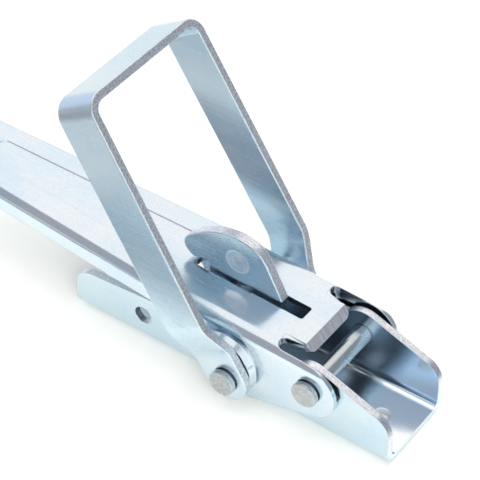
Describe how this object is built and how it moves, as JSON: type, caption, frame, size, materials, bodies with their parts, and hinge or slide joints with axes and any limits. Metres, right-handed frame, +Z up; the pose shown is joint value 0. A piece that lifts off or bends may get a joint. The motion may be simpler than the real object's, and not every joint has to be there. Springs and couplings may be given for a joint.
{
  "type": "toggle latch",
  "caption": "Over-centre toggle latch in zinc-plated steel with a channel base, hand lever, swinging bail loop and sprung safety catch.",
  "frame": {"origin": "on the underside of the base, on the centre plane, straight below the handle pivot", "axes": "+X along the base towards its open end, +Y across it, +Z up from the base"},
  "size_m": [0.2308, 0.0702, 0.125],
  "materials": {
    "zinc_sheet": "bright zinc plate on pressed sheet",
    "zinc_strip": "bright zinc plate on bent strip",
    "zinc_catch": "bright zinc plate on blanked plate",
    "zinc_pin": "zinc plate, peened heads",
    "spring_steel": "drawn spring wire"
  },
  "bodies": {
    "base": {"base_channel": "zinc_sheet", "catch_stop_pin": "zinc_pin", "pivot_pin": "zinc_pin"},
    "handle": {"handle_lever": "zinc_sheet", "bail_rivet_near": "zinc_pin", "bail_rivet_far": "zinc_pin", "catch_pivot_pin": "zinc_pin", "catch_sleeve": "zinc_pin", "catch_spring": "spring_steel"},
    "bail": {"bail_loop": "zinc_strip"},
    "catch": {"safety_catch": "zinc_catch"}
  },
  "joints": [
    {"name": "handle_pivot", "type": "hinge", "parent": "base", "child": "handle", "pos_m": [0, 0, 0.0224], "axis": [0, 1, 0], "range_deg": [0, 125]},
    {"name": "bail_swing", "type": "hinge", "parent": "handle", "child": "bail", "pos_m": [-0.0332, 0, 0.0138], "axis": [0, 1, 0], "range_deg": [-38, 120]},
    {"name": "catch_pivot", "type": "hinge", "parent": "handle", "child": "catch", "pos_m": [-0.054, 0, 0.0292], "axis": [0, 1, 0], "range_deg": [-6, 0], "stiffness_Nm_per_rad": 0.3, "springref_deg": 17.19, "deforming": ["catch_spring"]}
  ]
}
